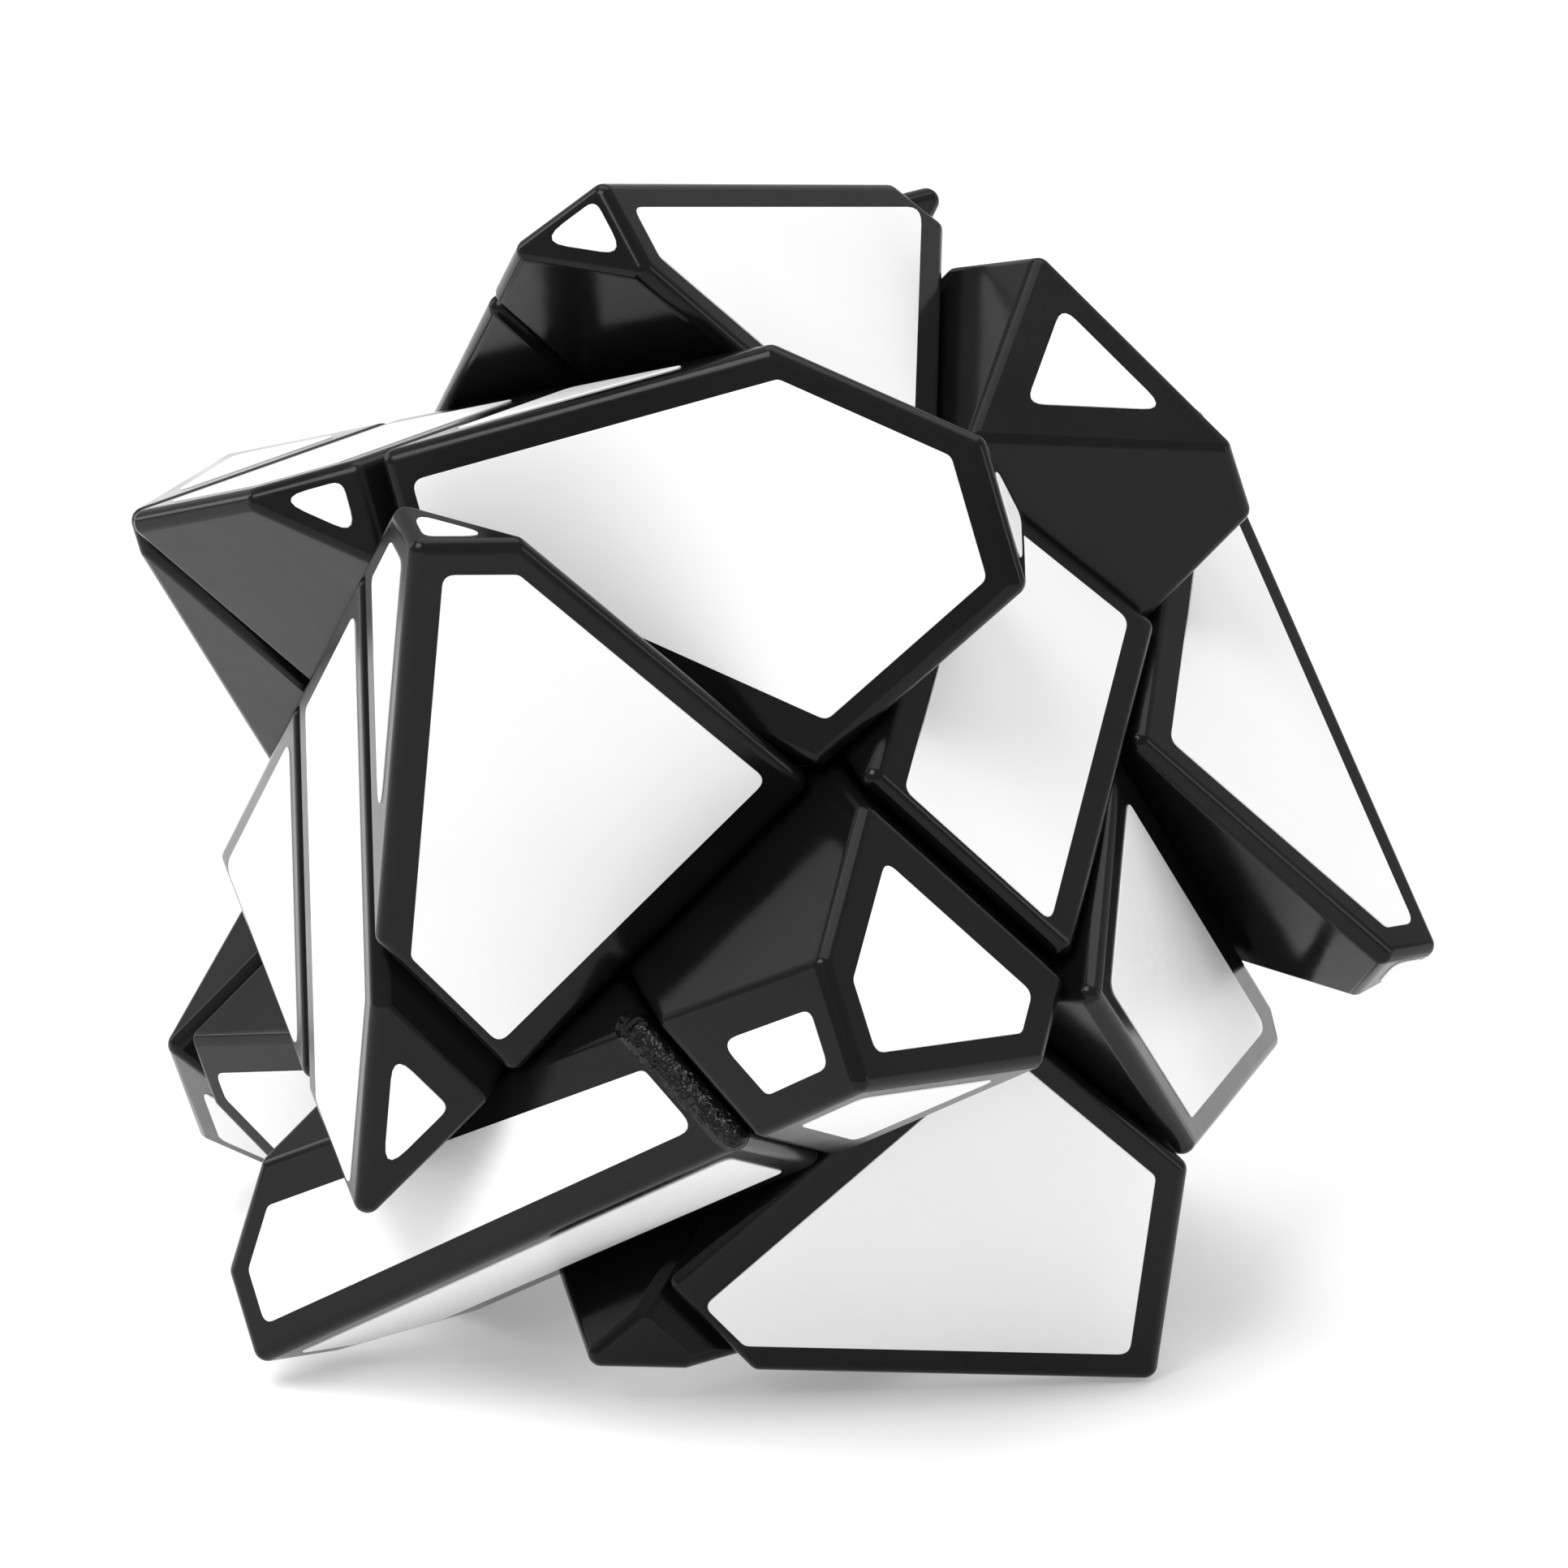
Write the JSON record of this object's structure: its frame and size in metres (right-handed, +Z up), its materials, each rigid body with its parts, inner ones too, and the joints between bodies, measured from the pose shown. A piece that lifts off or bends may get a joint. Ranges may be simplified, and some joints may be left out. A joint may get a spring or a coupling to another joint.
{
  "type": "twisty puzzle",
  "caption": "Shape-shifting 3x3x3 twisty puzzle of glossy black plastic blocks with white facets, its layers left part way through a turn.",
  "frame": {"origin": "centre of the bounding box's bottom face, on the floor the puzzle rests on", "axes": "+Z up, -Y the side the picture shows, +X to its right"},
  "size_m": [0.0864, 0.096, 0.0811],
  "materials": {
    "black_plastic": "glossy",
    "core_nylon": "satin",
    "steel": "satin",
    "sticker_white": "satin"
  },
  "bodies": {
    "middle": {"core": "core_nylon", "middle_centre_1": "black_plastic", "middle_centre_2": "black_plastic", "middle_centre_3": "black_plastic", "middle_centre_4": "black_plastic", "middle_edge_1": "black_plastic", "middle_edge_2": "black_plastic", "middle_edge_3": "black_plastic", "middle_edge_4": "black_plastic", "screw_1": "steel", "screw_2": "steel", "screw_3": "steel", "screw_4": "steel", "screw_5": "steel", "screw_6": "steel", "spring_1": "steel", "spring_2": "steel", "spring_3": "steel", "spring_4": "steel", "spring_5": "steel", "spring_6": "steel", "washer_1": "steel", "washer_2": "steel", "washer_3": "steel", "washer_4": "steel", "washer_5": "steel", "washer_6": "steel"},
    "upper": {"upper_centre_1": "black_plastic", "upper_corner_1": "black_plastic", "upper_corner_2": "black_plastic", "upper_corner_3": "black_plastic", "upper_corner_4": "black_plastic", "upper_edge_1": "black_plastic", "upper_edge_2": "black_plastic", "upper_edge_3": "black_plastic", "upper_edge_4": "black_plastic"},
    "lower": {"lower_centre_1": "black_plastic", "lower_corner_1": "black_plastic", "lower_corner_2": "black_plastic", "lower_corner_3": "black_plastic", "lower_corner_4": "black_plastic", "lower_edge_1": "black_plastic", "lower_edge_2": "black_plastic", "lower_edge_3": "black_plastic", "lower_edge_4": "black_plastic"}
  },
  "joints": [
    {"name": "upper_turn", "type": "hinge", "parent": "middle", "child": "upper", "pos_m": [-0.00481, 0.00036, 0.03524], "axis": [-0.6595, -0.2597, 0.7054], "continuous": true},
    {"name": "lower_turn", "type": "hinge", "parent": "middle", "child": "lower", "pos_m": [-0.00481, 0.00036, 0.03524], "axis": [-0.6595, -0.2597, 0.7054], "continuous": true}
  ]
}
